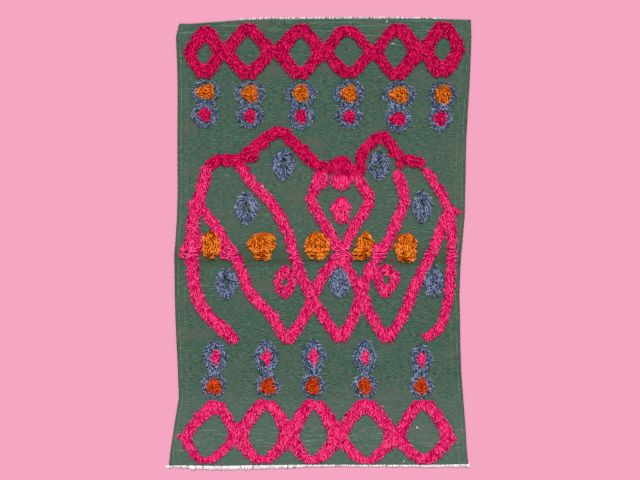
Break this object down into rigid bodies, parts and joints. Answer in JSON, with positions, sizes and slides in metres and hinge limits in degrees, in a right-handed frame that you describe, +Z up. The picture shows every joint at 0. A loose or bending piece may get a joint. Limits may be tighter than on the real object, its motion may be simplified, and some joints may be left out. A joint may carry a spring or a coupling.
{
  "type": "wool rug",
  "caption": "Flat-woven green wool rug with raised knotted-pile lozenge borders, eye figures and crossing strands in pink, crimson, orange and blue, lying flat.",
  "frame": {"origin": "middle of the rug's bounding box, on the surface it lies on", "axes": "+X to the rug's right, +Y along its length towards the crimson lozenge border, +Z up out of the pile"},
  "size_m": [1.036, 1.5454, 0.0175],
  "materials": {
    "green_wool": "matt weft-faced flat weave of wool",
    "white_warp": "matt cut cotton warp ends",
    "crimson_wool": "matt knotted wool pile",
    "pink_wool": "matt knotted wool pile",
    "orange_wool": "matt knotted wool pile",
    "rust_wool": "matt knotted wool pile",
    "blue_wool": "matt knotted wool pile, finer and looser"
  },
  "bodies": {
    "root": {"ground": "green_wool", "end_band": "white_warp", "warp_ends": "white_warp", "top_lozenges": "crimson_wool", "bottom_lozenges": "pink_wool", "field_strands": "pink_wool", "roof_left": "crimson_wool", "roof_right": "crimson_wool", "cap_crimson": "crimson_wool", "cap_pink": "pink_wool", "pink_tuft": "pink_wool", "pink_ring_1": "pink_wool", "pink_ring_2": "pink_wool", "field_eye_1": "blue_wool", "field_eye_2": "blue_wool", "field_eye_3": "blue_wool", "field_eye_4": "blue_wool", "field_eye_5": "blue_wool", "field_eye_6": "blue_wool", "field_eye_7": "blue_wool", "orange_tuft_1": "orange_wool", "orange_tuft_2": "orange_wool", "orange_tuft_3": "orange_wool", "orange_tuft_4": "orange_wool", "orange_tuft_5": "orange_wool", "top_eye_1": "blue_wool", "top_eye_upper_1": "orange_wool", "top_eye_lower_1": "crimson_wool", "top_eye_2": "blue_wool", "top_eye_upper_2": "orange_wool", "top_eye_lower_2": "crimson_wool", "top_eye_3": "blue_wool", "top_eye_upper_3": "orange_wool", "top_eye_lower_3": "crimson_wool", "top_eye_4": "blue_wool", "top_eye_upper_4": "orange_wool", "top_eye_lower_4": "crimson_wool", "top_eye_5": "blue_wool", "top_eye_upper_5": "orange_wool", "top_eye_lower_5": "crimson_wool", "top_eye_6": "blue_wool", "top_eye_upper_6": "orange_wool", "top_eye_lower_6": "crimson_wool", "bottom_eye_1": "blue_wool", "bottom_eye_upper_1": "pink_wool", "bottom_eye_lower_1": "rust_wool", "bottom_eye_2": "blue_wool", "bottom_eye_upper_2": "pink_wool", "bottom_eye_lower_2": "rust_wool", "bottom_eye_3": "blue_wool", "bottom_eye_upper_3": "pink_wool", "bottom_eye_lower_3": "rust_wool", "bottom_eye_4": "blue_wool", "bottom_eye_upper_4": "pink_wool", "bottom_eye_lower_4": "rust_wool", "bottom_eye_5": "blue_wool", "bottom_eye_upper_5": "pink_wool", "bottom_eye_lower_5": "rust_wool"}
  },
  "joints": []
}
